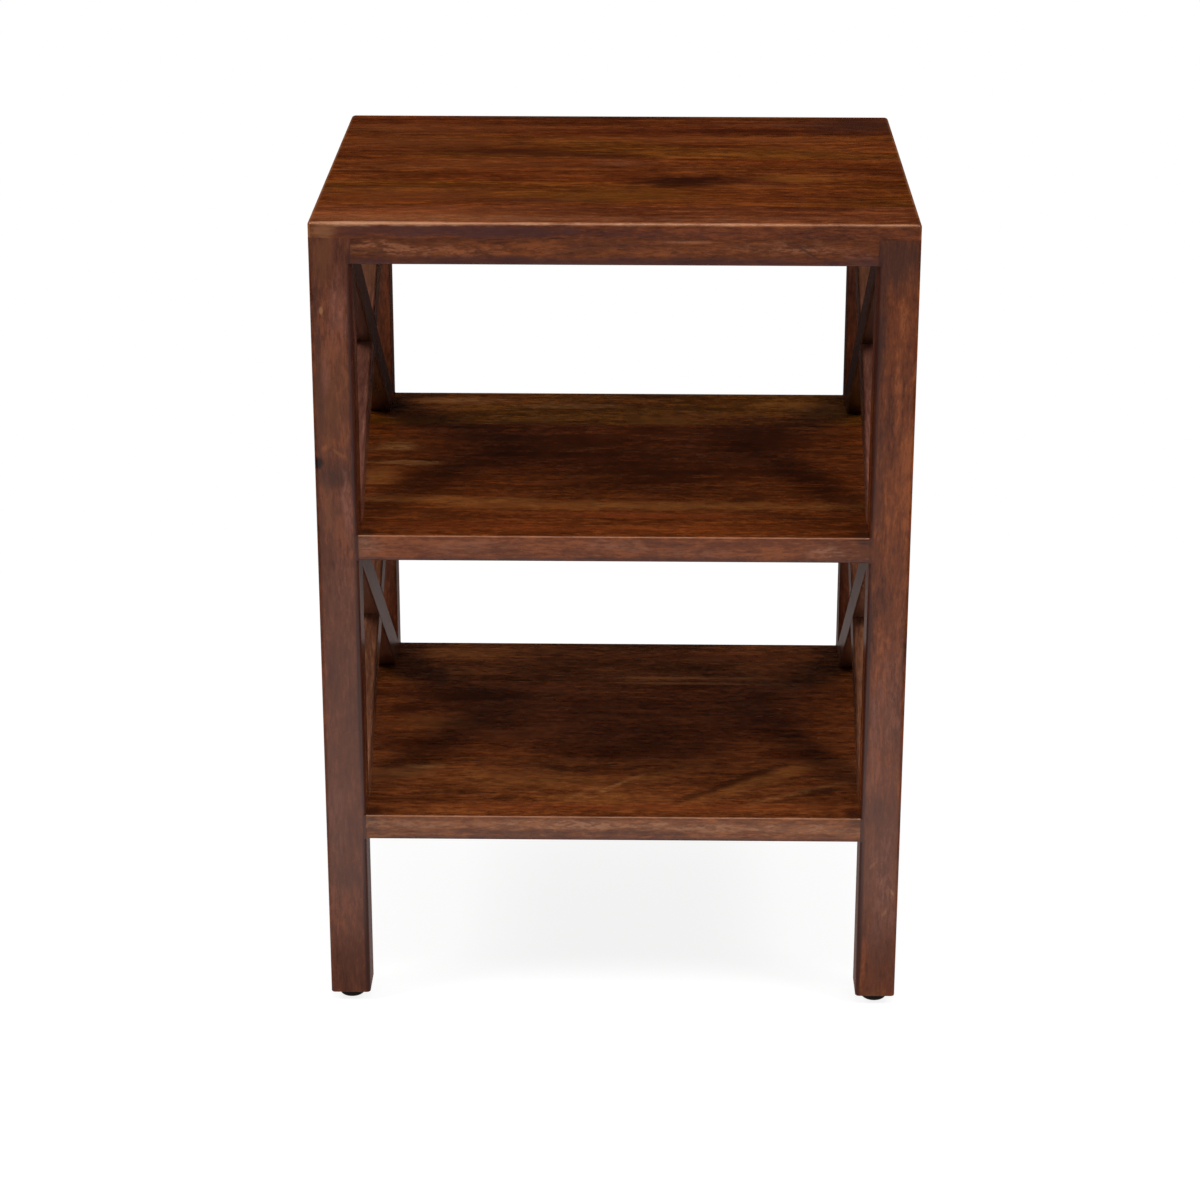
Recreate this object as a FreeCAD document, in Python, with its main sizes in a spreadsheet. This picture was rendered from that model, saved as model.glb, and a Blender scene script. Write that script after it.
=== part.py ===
import FreeCAD, Part
import math
import os
import re
import Sketcher
from FreeCAD import Placement, Rotation, Vector

# A square-legged accent table in stained hardwood. Four legs carry a thin top on four rails and two
# notched shelves, and each side is closed by two crossed braces, one above the other. The origin is
# on the floor, under the middle of the table. X runs to the right, Y to the back and Z up.

# Driving sizes in millimetres, and shares of a size where the name says so

SIZES = [
    ("overall_width", "432", "across the outer faces of the legs"),
    ("overall_depth", "356", "front face to back face of the legs"),
    ("overall_height", "613.5", "floor to upper face of the top"),
    ("middle_shelf_height", "380", "floor to upper face of the middle shelf"),
    ("bottom_shelf_height", "156.5", "floor to upper face of the bottom shelf"),
    ("leg_side", "30", "side of a square leg"),
    ("leg_arris", "3", "radius of a leg's outer corner, and of its other visible corners between joints"),
    ("leg_easing", "0.6", "radius of its inner corner and of its foot"),
    ("top_thickness", "11.5", "thickness of the top boards"),
    ("top_arris", "2.5", "radius of the upper edge of the top"),
    ("top_corner", "3.5", "radius of the four upright corners of the top"),
    ("rail_height", "19", "height of a top rail"),
    ("rail_thickness", "22", "thickness of a top rail, front to back"),
    ("rail_arris", "1.2", "radius of the lower outer edge of a rail"),
    ("shelf_thickness", "19.5", "thickness of the shelf boards"),
    ("shelf_arris", "1.6", "radius of the exposed edges of a shelf"),
    ("brace_width", "25", "width of a brace bar, seen from the side"),
    ("brace_thickness", "19", "thickness of a brace bar, left to right"),
    ("brace_arris", "2", "radius along the edges of a brace bar"),
    ("fit_gap", "0.1", "clearance each side of a glued or driven joint"),
    ("dowel_diameter", "6", "diameter of a wooden dowel"),
    ("dowel_length", "24", "length of a wooden dowel"),
    ("dowel_chamfer", "0.6", "chamfer on both ends of a dowel"),
    ("dowel_spare", "1", "empty depth past the end of a dowel"),
    ("dowel_inset", "8.5", "outer face of the table to the middle of a dowel"),
    ("rail_dowel_spacing", "9", "between the two dowels in a rail end"),
    ("screw_diameter", "4", "shank of a screw that holds the top"),
    ("screw_head", "8", "head of that screw"),
    ("screw_head_height", "2.4", "depth of its countersunk head"),
    ("screw_bite", "7", "length of the screw inside the top"),
    ("screw_point", "3", "length of its point"),
    ("screw_slot_width", "1.1", "width of the slot in its head"),
    ("screw_slot_depth", "1.2", "depth of that slot"),
    ("screw_share", "0.22", "end of a long rail to its screw, as a share of the rail"),
    ("glide_diameter", "20", "diameter of a foot glide"),
    ("glide_height", "7.4", "height of a foot glide"),
    ("glide_round", "3.6", "radius of the lower edge of a glide"),
    ("nail_diameter", "2", "shank of the nail through a glide"),
    ("nail_head", "4.6", "head of that nail"),
    ("nail_head_height", "0.9", "height of that head"),
    ("nail_head_recess", "1.6", "depth of the recess that holds the head"),
    ("nail_bite", "14", "length of the nail inside the leg"),
    ("nail_point", "2.5", "length of its point"),
]

# Joints between the edge-glued boards, as shares of the depth counted from the front edge

TOP_JOINT_SHARES = (0.146, 0.354, 0.573, 0.798)
MIDDLE_JOINT_SHARES = (0.326, 0.556, 0.758)
BOTTOM_JOINT_SHARES = (0.312, 0.559, 0.755)

NEAR = 0.001
QUARTER_TURN = 90
FULL_TURN = 4 * QUARTER_TURN
ALIASES = {alias for alias, number, note in SIZES}
SIDES = (("left", -1), ("right", 1))
ENDS = (("front", -1), ("back", 1))

doc = FreeCAD.newDocument("accent_table")
sheet = doc.addObject("Spreadsheet::Sheet", "sizes")
for row, (alias, number, note) in enumerate(SIZES, start=1):
    sheet.set("A%d" % row, note)
    sheet.set("B%d" % row, number)
    sheet.setAlias("B%d" % row, alias)
doc.recompute()

pieces = []


# Helpers that tie a shape to the sheet

def spelled(formula):
    """The formula with each name of a size written as a cell of the sheet."""
    return re.sub(r"[a-z_]+", lambda word: cell_of(word.group()), formula)


def cell_of(word):
    return "sizes." + word if word in ALIASES else word


def value(formula):
    return float(sheet.evalExpression(spelled(formula)))


def bind(thing, place, formula):
    """Tie one property of a thing to a formula in the names of the sizes."""
    thing.setExpression(place, spelled(formula))


def place(thing, x, y, z, turn=Rotation()):
    """Turn a thing, then tie the place of its own origin to three formulas."""
    thing.Placement = Placement(Vector(), turn)
    for axis, formula in zip("xyz", (x, y, z)):
        bind(thing, "Placement.Base." + axis, formula)


def signed(sign, formula):
    return formula if sign > 0 else "-1 * " + formula


def new_piece(name):
    """A body that is one piece of the table, under the name of that piece."""
    body = doc.addObject("PartDesign::Body", name)
    body.Label = name
    pieces.append(body)
    return body


def new_sketch(body, name, role, offset=("0", "0", "0")):
    """A sketch on one of the body's own origin planes, moved by an offset in the plane's axes."""
    sketch = body.newObject("Sketcher::SketchObject", name)
    plane = next(feature for feature in body.Origin.OriginFeatures if feature.Role == role)
    sketch.AttachmentSupport = [(plane, "")]
    sketch.MapMode = "FlatFace"
    for axis, formula in zip("xyz", offset):
        bind(sketch, "AttachmentOffset.Base." + axis, formula)
    return sketch


def pin_point(sketch, geometry, position, across, up):
    """Hold one point of a sketch at two formulas from the sketch's origin."""
    for kind, formula in (("DistanceX", across), ("DistanceY", up)):
        rule = Sketcher.Constraint(kind, -1, 1, geometry, position, value(formula))
        bind(sketch, "Constraints[%d]" % sketch.addConstraint(rule), formula)


def draw_outline(sketch, corners):
    """A closed outline of straight lines through the corners, each corner a pair of formulas."""
    points = [Vector(value(across), value(up), 0) for across, up in corners]
    for number, start in enumerate(points):
        sketch.addGeometry(Part.LineSegment(start, points[(number + 1) % len(points)]))
    for number, (across, up) in enumerate(corners):
        following = (number + 1) % len(points)
        sketch.addConstraint(Sketcher.Constraint("Coincident", number, 2, following, 1))
        pin_point(sketch, number, 1, across, up)


def draw_circles(sketch, centres, diameter):
    """Equal circles, each centre a pair of formulas."""
    for number, (across, up) in enumerate(centres):
        middle = Vector(value(across), value(up), 0)
        sketch.addGeometry(Part.Circle(middle, Vector(0, 0, 1), value(diameter) / 2))
        pin_point(sketch, number, 3, across, up)
        rule = Sketcher.Constraint("Diameter", number, value(diameter))
        bind(sketch, "Constraints[%d]" % sketch.addConstraint(rule), diameter)


def pad(body, sketch, length):
    """Thicken a sketch along its plane's normal."""
    feature = body.newObject("PartDesign::Pad", body.Name + "_pad")
    feature.Profile = sketch
    bind(feature, "Length", length)
    doc.recompute()


def pocket(body, sketch, depth, along_normal):
    """Cut a sketch into the body, and make sure that the cut takes wood away."""
    before = body.Shape.Volume
    feature = body.newObject("PartDesign::Pocket", sketch.Name + "_pocket")
    feature.Profile = sketch
    feature.Reversed = along_normal
    bind(feature, "Length", depth)
    doc.recompute()
    if body.Shape.Volume > before - NEAR:
        raise ValueError(sketch.Name + " cuts nothing")


def revolve(body, sketch):
    """Turn a sketch on the XZ plane once round the Z axis."""
    feature = body.newObject("PartDesign::Revolution", body.Name + "_turning")
    feature.Profile = sketch
    feature.ReferenceAxis = (sketch, ["V_Axis"])
    feature.Angle = FULL_TURN
    doc.recompute()


def round_edges(body, name, radius, wanted):
    """Round the edges of the body's last feature that the test picks."""
    base = body.Tip
    names = ["Edge%d" % number for number, edge in enumerate(base.Shape.Edges, start=1) if wanted(edge)]
    feature = body.newObject("PartDesign::Fillet", body.Name + "_" + name)
    feature.Base = (base, names)
    bind(feature, "Radius", radius)
    doc.recompute()


def direction(edge):
    return (edge.lastVertex().Point - edge.firstVertex().Point).normalize()


def runs_along(edge, axis):
    return abs(abs(direction(edge).dot(axis)) - 1) < NEAR


def lies_at(edge, axis, formula):
    """Whether the middle of an edge lies at a formula's distance along an axis."""
    return abs(edge.CenterOfMass.dot(axis) - value(formula)) < NEAR


X = Vector(1, 0, 0)
Y = Vector(0, 1, 0)
Z = Vector(0, 0, 1)

# Places that several pieces share

LEG_LENGTH = "(overall_height - top_thickness - glide_height)"
LONG_SPAN = "(overall_width - 2 * leg_side)"
SHORT_SPAN = "(overall_depth - 2 * leg_side)"
RAIL_FOOT = "(overall_height - top_thickness - rail_height)"
RAIL_MIDDLE = "(%s + rail_height / 2)" % RAIL_FOOT
HOLE = "(dowel_diameter + 2 * fit_gap)"
HOLE_DEPTH = "(dowel_length / 2 + dowel_spare)"
SHELVES = {
    "middle_shelf": ("middle_shelf_height", MIDDLE_JOINT_SHARES),
    "bottom_shelf": ("bottom_shelf_height", BOTTOM_JOINT_SHARES),
}

# The two openings that the braces of a side fill, each with its foot and its head above the floor

TIERS = {
    "upper": ("middle_shelf_height", RAIL_FOOT),
    "lower": ("bottom_shelf_height", "(middle_shelf_height - shelf_thickness)"),
}


def tier_height(tier):
    foot, head = TIERS[tier]
    return "(%s - %s)" % (head, foot)


def nose_rise(tier, spare="0"):
    """Upright height of a brace's pointed end, from the corner that it fills."""
    height = tier_height(tier)
    slope = "hypot(%s; %s)" % (height, SHORT_SPAN)
    return "((brace_width / 2 + %s) * %s / %s)" % (spare, slope, SHORT_SPAN)


def nose_run(tier, spare="0"):
    """Level length of that end, from the same corner."""
    height = tier_height(tier)
    slope = "hypot(%s; %s)" % (height, SHORT_SPAN)
    return "((brace_width / 2 + %s) * %s / %s)" % (spare, slope, height)


def shelf_dowel_level(shelf):
    return "(%s - shelf_thickness / 2)" % SHELVES[shelf][0]


def rail_dowel_levels():
    return ["(%s %s rail_dowel_spacing / 2)" % (RAIL_MIDDLE, sign) for sign in "-+"]


def brace_dowel_levels():
    """Two dowels for each tier: one in the nose at its foot and one in the nose at its head."""
    levels = []
    for tier, (foot, head) in TIERS.items():
        levels.append("(%s + %s / 2)" % (foot, nose_rise(tier)))
        levels.append("(%s - %s / 2)" % (head, nose_rise(tier)))
    return levels


# Legs: square posts from the glide to the top, bored for the dowels of rails, shelves and braces

LEG_X = "(overall_width / 2 - leg_side / 2)"
LEG_Y = "(overall_depth / 2 - leg_side / 2)"
BRACE_X = "(overall_width / 2 - leg_side + brace_thickness / 2)"
DOWEL_X = "(overall_width / 2 - dowel_inset)"
DOWEL_Y = "(overall_depth / 2 - dowel_inset)"


def leg_heights(levels):
    """Levels above the floor, as heights above the foot of a leg."""
    return [("0", "(%s - glide_height)" % level) for level in levels]


# Stretches of a leg that stay open between the floor, the shelves and the rails, as foot and head

OPEN_STRETCHES = {
    "foot": ("glide_height", "(bottom_shelf_height - shelf_thickness)"),
    "lower": TIERS["lower"],
    "upper": TIERS["upper"],
}


def draw_corner_waste(sketch, x_sign, y_sign):
    """What a round-over takes off one corner of a leg: two straight sides and the arc that stays."""
    half = "(leg_side / 2)"
    tangent = "(leg_side / 2 - leg_arris)"
    corner = (signed(x_sign, half), signed(y_sign, half))
    side_tangent = (signed(x_sign, half), signed(y_sign, tangent))
    end_tangent = (signed(x_sign, tangent), signed(y_sign, half))
    start, finish = (side_tangent, end_tangent) if x_sign == y_sign else (end_tangent, side_tangent)
    quarters = {(1, 1): 0, (-1, 1): 1, (-1, -1): 2, (1, -1): 3}[x_sign, y_sign]
    middle = Vector(value(signed(x_sign, tangent)), value(signed(y_sign, tangent)), 0)
    circle = Part.Circle(middle, Vector(0, 0, 1), value("leg_arris"))
    turn = math.radians(QUARTER_TURN)
    arc = sketch.addGeometry(Part.ArcOfCircle(circle, quarters * turn, (quarters + 1) * turn))
    points = [Vector(value(across), value(along), 0) for across, along in (finish, corner, start)]
    first = sketch.addGeometry(Part.LineSegment(points[0], points[1]))
    second = sketch.addGeometry(Part.LineSegment(points[1], points[2]))
    for before, after in ((arc, first), (first, second), (second, arc)):
        sketch.addConstraint(Sketcher.Constraint("Coincident", before, 2, after, 1))
    for geometry, position, (across, along) in ((first, 1, finish), (second, 1, corner), (second, 2, start)):
        pin_point(sketch, geometry, position, across, along)
    rule = Sketcher.Constraint("Radius", arc, value("leg_arris"))
    bind(sketch, "Constraints[%d]" % sketch.addConstraint(rule), "leg_arris")


def is_upright_at(edge, x, y):
    return runs_along(edge, Z) and lies_at(edge, X, x) and lies_at(edge, Y, y)


def make_leg(side, side_sign, end, end_sign):
    leg = new_piece("%s_%s_leg" % (end, side))
    section = new_sketch(leg, leg.Name + "_section", "XY_Plane")
    half = "leg_side / 2"
    draw_outline(section, [("-1 * " + half, "-1 * " + half), (half, "-1 * " + half),
                           (half, half), ("-1 * " + half, half)])
    pad(leg, section, LEG_LENGTH)

    # The outer corner is rounded from end to end. The corners beside the openings are rounded over only
    # between the joints, so that rails and shelves stay flush with the leg. The rest is eased.
    round_edges(leg, "arris", "leg_arris",
                lambda edge: is_upright_at(edge, signed(side_sign, half), signed(end_sign, half)))
    for stretch, (foot, head) in OPEN_STRETCHES.items():
        waste = new_sketch(leg, "%s_%s_waste" % (leg.Name, stretch), "XY_Plane",
                           ("0", "0", "(%s - glide_height)" % foot))
        draw_corner_waste(waste, -side_sign, end_sign)
        draw_corner_waste(waste, side_sign, -end_sign)
        pocket(leg, waste, "(%s - %s)" % (head, foot), True)
    round_edges(leg, "easing", "leg_easing",
                lambda edge: is_upright_at(edge, signed(-side_sign, half), signed(-end_sign, half))
                or lies_at(edge, Z, "0"))

    # Bores in the face that meets the front or back rail and the shelves
    row = new_sketch(leg, leg.Name + "_rail_and_shelf_bores", "YZ_Plane",
                     (signed(end_sign, "(%s - %s)" % (DOWEL_Y, LEG_Y)), "0",
                      signed(-side_sign, "(leg_side / 2)")))
    levels = rail_dowel_levels() + [shelf_dowel_level(shelf) for shelf in SHELVES]
    draw_circles(row, leg_heights(levels), HOLE)
    pocket(leg, row, HOLE_DEPTH, side_sign > 0)

    # Bores in the face that meets the side rail, then those that meet the braces
    for name, across, levels in (("side_rail_bores", DOWEL_X, rail_dowel_levels()),
                                 ("brace_bores", BRACE_X, brace_dowel_levels())):
        row = new_sketch(leg, leg.Name + "_" + name, "XZ_Plane",
                         (signed(side_sign, "(%s - %s)" % (across, LEG_X)), "0",
                          signed(end_sign, "(leg_side / 2)")))
        draw_circles(row, leg_heights(levels), HOLE)
        pocket(leg, row, HOLE_DEPTH, end_sign < 0)

    # Hole in the foot for the glide's nail
    nail_hole = new_sketch(leg, leg.Name + "_nail_hole", "XY_Plane")
    draw_circles(nail_hole, [("0", "0")], "(nail_diameter + 2 * fit_gap)")
    pocket(leg, nail_hole, "(nail_bite + fit_gap)", True)
    place(leg, signed(side_sign, LEG_X), signed(end_sign, LEG_Y), "glide_height")


for end, end_sign in ENDS:
    for side, side_sign in SIDES:
        make_leg(side, side_sign, end, end_sign)

# Rails: a frame under the top, flush with the outer faces of the legs, screwed up into the top


def make_rail(name, span, screws, turn, corner):
    """A rail along its own X from one leg to the next, with its outer face at Y zero."""
    rail = new_piece(name)
    section = new_sketch(rail, name + "_section", "YZ_Plane")
    draw_outline(section, [("0", "0"), ("rail_thickness", "0"),
                           ("rail_thickness", "rail_height"), ("0", "rail_height")])
    pad(rail, section, span)
    round_edges(rail, "arris", "rail_arris",
                lambda edge: runs_along(edge, X) and lies_at(edge, Z, "0") and lies_at(edge, Y, "0"))
    heights = ["(rail_height / 2 %s rail_dowel_spacing / 2)" % sign for sign in "-+"]
    for end, plane, inwards in (("start", "0", True), ("finish", span, False)):
        bores = new_sketch(rail, "%s_%s_bores" % (name, end), "YZ_Plane", ("0", "0", plane))
        draw_circles(bores, [("dowel_inset", height) for height in heights], HOLE)
        pocket(rail, bores, HOLE_DEPTH, inwards)
    for number, along in enumerate(screws, start=1):
        seat = new_sketch(rail, "%s_screw_%d_seat" % (name, number), "XZ_Plane",
                          (along, "0", "-1 * rail_thickness / 2"))
        half_hole = "(screw_diameter / 2 + fit_gap)"
        half_head = "(screw_head / 2 + fit_gap)"
        draw_outline(seat, [("0", "0"), (half_head, "0"), (half_hole, "screw_head_height"),
                            (half_hole, "rail_height"), ("0", "rail_height")])
        cut = rail.newObject("PartDesign::Groove", seat.Name + "_cut")
        cut.Profile = seat
        cut.ReferenceAxis = (seat, ["V_Axis"])
        cut.Angle = FULL_TURN
        doc.recompute()
    place(rail, corner[0], corner[1], RAIL_FOOT, turn)


TOP_MIDDLE_SHARE = (TOP_JOINT_SHARES[1] + TOP_JOINT_SHARES[2]) / 2
SIDE_SCREW_Y = "(overall_depth * %r - overall_depth / 2)" % TOP_MIDDLE_SHARE
long_screws = ["%s * screw_share" % LONG_SPAN, "%s * (1 - screw_share)" % LONG_SPAN]
right_screws = ["(%s / 2 + %s)" % (SHORT_SPAN, SIDE_SCREW_Y)]
left_screws = ["(%s / 2 - %s)" % (SHORT_SPAN, SIDE_SCREW_Y)]
HALF_WIDTH = "(overall_width / 2)"
HALF_DEPTH = "(overall_depth / 2)"
HALF_LONG_SPAN = "(%s / 2)" % LONG_SPAN
HALF_SHORT_SPAN = "(%s / 2)" % SHORT_SPAN

make_rail("front_rail", LONG_SPAN, long_screws, Rotation(),
          ("-1 * " + HALF_LONG_SPAN, "-1 * " + HALF_DEPTH))
make_rail("right_rail", SHORT_SPAN, right_screws, Rotation(Z, QUARTER_TURN),
          (HALF_WIDTH, "-1 * " + HALF_SHORT_SPAN))
make_rail("back_rail", LONG_SPAN, long_screws, Rotation(Z, 2 * QUARTER_TURN),
          (HALF_LONG_SPAN, HALF_DEPTH))
make_rail("left_rail", SHORT_SPAN, left_screws, Rotation(Z, 3 * QUARTER_TURN),
          ("-1 * " + HALF_WIDTH, HALF_SHORT_SPAN))

# Every screw under the top, as the place of its axis

SCREW_Y = "(overall_depth / 2 - rail_thickness / 2)"
SCREW_X = "(%s / 2 - %s * screw_share)" % (LONG_SPAN, LONG_SPAN)
SIDE_SCREW_X = "(overall_width / 2 - rail_thickness / 2)"


def screws_of_board(number, count):
    """Places of the screws that bite into one board of the top, counted from the front."""
    if number == 0:
        return [(signed(sign, SCREW_X), "-1 * " + SCREW_Y) for side, sign in SIDES]
    if number == count - 1:
        return [(signed(sign, SCREW_X), SCREW_Y) for side, sign in SIDES]
    if number == count // 2:
        return [(signed(sign, SIDE_SCREW_X), SIDE_SCREW_Y) for side, sign in SIDES]
    return []


# Boards: the top and both shelves are panels of edge-glued boards, with the grain from side to side


def board_edges(shares, number):
    """Front and back edge of one board of a panel, as distances from the panel's front edge."""
    edges = (0,) + shares + (1,)
    return "overall_depth * %r" % edges[number], "overall_depth * %r" % edges[number + 1]


def board_width(shares, number):
    near_edge, far_edge = board_edges(shares, number)
    return "(%s - %s)" % (far_edge, near_edge)


BOARD_WORDS = ("front", "second", "third", "fourth", "back")


def board_word(number, count):
    return BOARD_WORDS[-1] if number == count - 1 else BOARD_WORDS[number]


def make_top_board(number, count):
    board = new_piece("top_%s_board" % board_word(number, count))
    width = board_width(TOP_JOINT_SHARES, number)
    outline = new_sketch(board, board.Name + "_outline", "XY_Plane")
    draw_outline(outline, [("0", "0"), ("overall_width", "0"), ("overall_width", width), ("0", width)])
    pad(board, outline, "top_thickness")
    outer = {0: "0", count - 1: width}.get(number)
    if outer:
        round_edges(board, "corners", "top_corner",
                    lambda edge: runs_along(edge, Z) and lies_at(edge, Y, outer))

    def is_outer_upper_edge(edge):
        if not lies_at(edge, Z, "top_thickness"):
            return False
        if lies_at(edge, X, "0") or lies_at(edge, X, "overall_width"):
            return True
        return bool(outer) and (lies_at(edge, Y, outer) or edge.Curve.TypeId == "Part::GeomCircle")

    round_edges(board, "upper_arris", "top_arris", is_outer_upper_edge)
    front_edge = board_edges(TOP_JOINT_SHARES, number)[0]
    bites = [("(%s + overall_width / 2)" % x, "(%s + overall_depth / 2 - %s)" % (y, front_edge))
             for x, y in screws_of_board(number, count)]
    if bites:
        pilots = new_sketch(board, board.Name + "_pilot_holes", "XY_Plane")
        draw_circles(pilots, bites, "(screw_diameter + 2 * fit_gap)")
        pocket(board, pilots, "(screw_bite + fit_gap)", True)
    place(board, "-1 * " + HALF_WIDTH, "(%s - overall_depth / 2)" % front_edge,
          "(overall_height - top_thickness)")


for number in range(len(TOP_JOINT_SHARES) + 1):
    make_top_board(number, len(TOP_JOINT_SHARES) + 1)


def make_shelf_board(shelf, number, count):
    """A board of a shelf. The outer boards are notched round the legs and doweled to them."""
    height, shares = SHELVES[shelf]
    board = new_piece("%s_%s_board" % (shelf, board_word(number, count)))
    width = board_width(shares, number)
    notch = "(leg_side + fit_gap)"
    far_notch = "(overall_width - %s)" % notch
    is_front = number == 0
    is_back = number == count - 1
    inner = notch if is_front else "(%s - %s)" % (width, notch)
    outline = new_sketch(board, board.Name + "_outline", "XY_Plane")
    if is_front:
        draw_outline(outline, [(notch, "0"), (far_notch, "0"), (far_notch, inner),
                               ("overall_width", inner), ("overall_width", width),
                               ("0", width), ("0", inner), (notch, inner)])
    elif is_back:
        draw_outline(outline, [("0", "0"), ("overall_width", "0"), ("overall_width", inner),
                               (far_notch, inner), (far_notch, width), (notch, width),
                               (notch, inner), ("0", inner)])
    else:
        draw_outline(outline, [("0", "0"), ("overall_width", "0"),
                               ("overall_width", width), ("0", width)])
    pad(board, outline, "shelf_thickness")
    outer = {0: "0", count - 1: width}.get(number)

    def is_exposed_edge(edge):
        if runs_along(edge, Z):
            return False
        if lies_at(edge, X, "0") or lies_at(edge, X, "overall_width"):
            return True
        return bool(outer) and lies_at(edge, Y, outer)

    round_edges(board, "arris", "shelf_arris", is_exposed_edge)
    if outer:
        along = "dowel_inset" if is_front else "(%s - dowel_inset)" % width
        for side, plane, inwards in (("left", notch, True), ("right", far_notch, False)):
            bore = new_sketch(board, "%s_%s_bore" % (board.Name, side), "YZ_Plane", ("0", "0", plane))
            draw_circles(bore, [(along, "shelf_thickness / 2")], HOLE)
            pocket(board, bore, HOLE_DEPTH, inwards)
    front_edge = board_edges(shares, number)[0]
    place(board, "-1 * " + HALF_WIDTH, "(%s - overall_depth / 2)" % front_edge,
          "(%s - shelf_thickness)" % height)


for shelf, (height, shares) in SHELVES.items():
    for number in range(len(shares) + 1):
        make_shelf_board(shelf, number, len(shares) + 1)

# Braces: in each opening of a side two bars cross from corner to corner. They are halved into each
# other, so that both lie flush with the inner faces of the legs.


def make_brace(side, side_sign, tier, slope):
    """A bar that rises or falls from front to back, its outline seen from the side."""
    bar = new_piece("%s_%s_%s_brace" % (side, tier, slope))
    height = tier_height(tier)
    rise = nose_rise(tier)
    run = nose_run(tier)
    corners = [("0", "0"), (run, "0"), (SHORT_SPAN, "(%s - %s)" % (height, rise)),
               (SHORT_SPAN, height), ("(%s - %s)" % (SHORT_SPAN, run), height), ("0", rise)]
    if slope == "falling":
        corners = [("(%s - %s)" % (SHORT_SPAN, across), up) for across, up in corners]
    outline = new_sketch(bar, bar.Name + "_outline", "YZ_Plane")
    draw_outline(outline, corners)
    pad(bar, outline, "brace_thickness")
    round_edges(bar, "arris", "brace_arris",
                lambda edge: not any(runs_along(edge, axis) for axis in (X, Y, Z)))

    # The halving: rising bars lose their inner half at the crossing, falling bars their outer half
    cut_is_inner = slope == "rising"
    cut_at_high_x = cut_is_inner == (side_sign < 0)
    halving = new_sketch(bar, bar.Name + "_halving", "YZ_Plane",
                         ("0", "0", "brace_thickness" if cut_at_high_x else "0"))
    middle = ("(%s / 2)" % SHORT_SPAN, "(%s / 2)" % height)
    wide_run = nose_run(tier, "fit_gap")
    wide_rise = nose_rise(tier, "fit_gap")
    draw_outline(halving, [("(%s - %s)" % (middle[0], wide_run), middle[1]),
                           (middle[0], "(%s - %s)" % (middle[1], wide_rise)),
                           ("(%s + %s)" % (middle[0], wide_run), middle[1]),
                           (middle[0], "(%s + %s)" % (middle[1], wide_rise))])
    pocket(bar, halving, "(brace_thickness / 2)", not cut_at_high_x)

    # A bore in each nose for the dowel that ties it to the leg
    low = "(%s / 2)" % rise
    high = "(%s - %s / 2)" % (height, rise)
    front_level, back_level = (low, high) if slope == "rising" else (high, low)
    for end, level, plane, into_back in (("front", front_level, "0", False),
                                         ("back", back_level, "-1 * " + SHORT_SPAN, True)):
        bore = new_sketch(bar, "%s_%s_bore" % (bar.Name, end), "XZ_Plane", ("0", "0", plane))
        draw_circles(bore, [("brace_thickness / 2", level)], HOLE)
        pocket(bar, bore, HOLE_DEPTH, into_back)
    inner_face = "(overall_width / 2 - leg_side)"
    x = inner_face if side_sign > 0 else "-1 * (%s + brace_thickness)" % inner_face
    place(bar, x, "-1 * " + HALF_SHORT_SPAN, TIERS[tier][0])


for side, side_sign in SIDES:
    for tier in TIERS:
        for slope in ("rising", "falling"):
            make_brace(side, side_sign, tier, slope)

# Glides: black domed discs nailed under the legs


def make_glide(side, side_sign, end, end_sign):
    glide = new_piece("%s_%s_glide" % (end, side))
    half = new_sketch(glide, glide.Name + "_half_section", "XZ_Plane")
    bore = "(nail_diameter / 2 + fit_gap)"
    recess = "(nail_head / 2 + fit_gap)"
    draw_outline(half, [(bore, "glide_height"), (bore, "nail_head_recess"), (recess, "nail_head_recess"),
                        (recess, "0"), ("glide_diameter / 2", "0"), ("glide_diameter / 2", "glide_height")])
    revolve(glide, half)
    round_edges(glide, "round", "glide_round",
                lambda edge: edge.Closed and lies_at(edge, Z, "0")
                and abs(edge.Curve.Radius - value("glide_diameter / 2")) < NEAR)
    place(glide, signed(side_sign, LEG_X), signed(end_sign, LEG_Y), "0")


for end, end_sign in ENDS:
    for side, side_sign in SIDES:
        make_glide(side, side_sign, end, end_sign)

# Fasteners: one pattern of each kind, which the groups below repeat


def new_pattern(name):
    body = doc.addObject("PartDesign::Body", name)
    body.Label = name
    return body


dowel = new_pattern("dowel_pattern")
dowel_section = new_sketch(dowel, "dowel_section", "XY_Plane", ("0", "0", "-1 * dowel_length / 2"))
draw_circles(dowel_section, [("0", "0")], "dowel_diameter")
pad(dowel, dowel_section, "dowel_length")
dowel_body = dowel.Tip
rims = ["Edge%d" % number for number, edge in enumerate(dowel_body.Shape.Edges, start=1) if edge.Closed]
dowel_ends = dowel.newObject("PartDesign::Chamfer", "dowel_ends")
dowel_ends.Base = (dowel_body, rims)
bind(dowel_ends, "Size", "dowel_chamfer")

screw = new_pattern("screw_pattern")
screw_half = new_sketch(screw, "screw_half_section", "XZ_Plane")
draw_outline(screw_half, [("0", "0"), ("screw_head / 2", "0"),
                          ("screw_diameter / 2", "screw_head_height"),
                          ("screw_diameter / 2", "(rail_height + screw_bite - screw_point)"),
                          ("0", "(rail_height + screw_bite)")])
revolve(screw, screw_half)
screw_slot = new_sketch(screw, "screw_slot", "XY_Plane")
draw_outline(screw_slot, [("-1 * screw_head", "-1 * screw_slot_width / 2"),
                          ("screw_head", "-1 * screw_slot_width / 2"),
                          ("screw_head", "screw_slot_width / 2"),
                          ("-1 * screw_head", "screw_slot_width / 2")])
pocket(screw, screw_slot, "screw_slot_depth", True)

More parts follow.
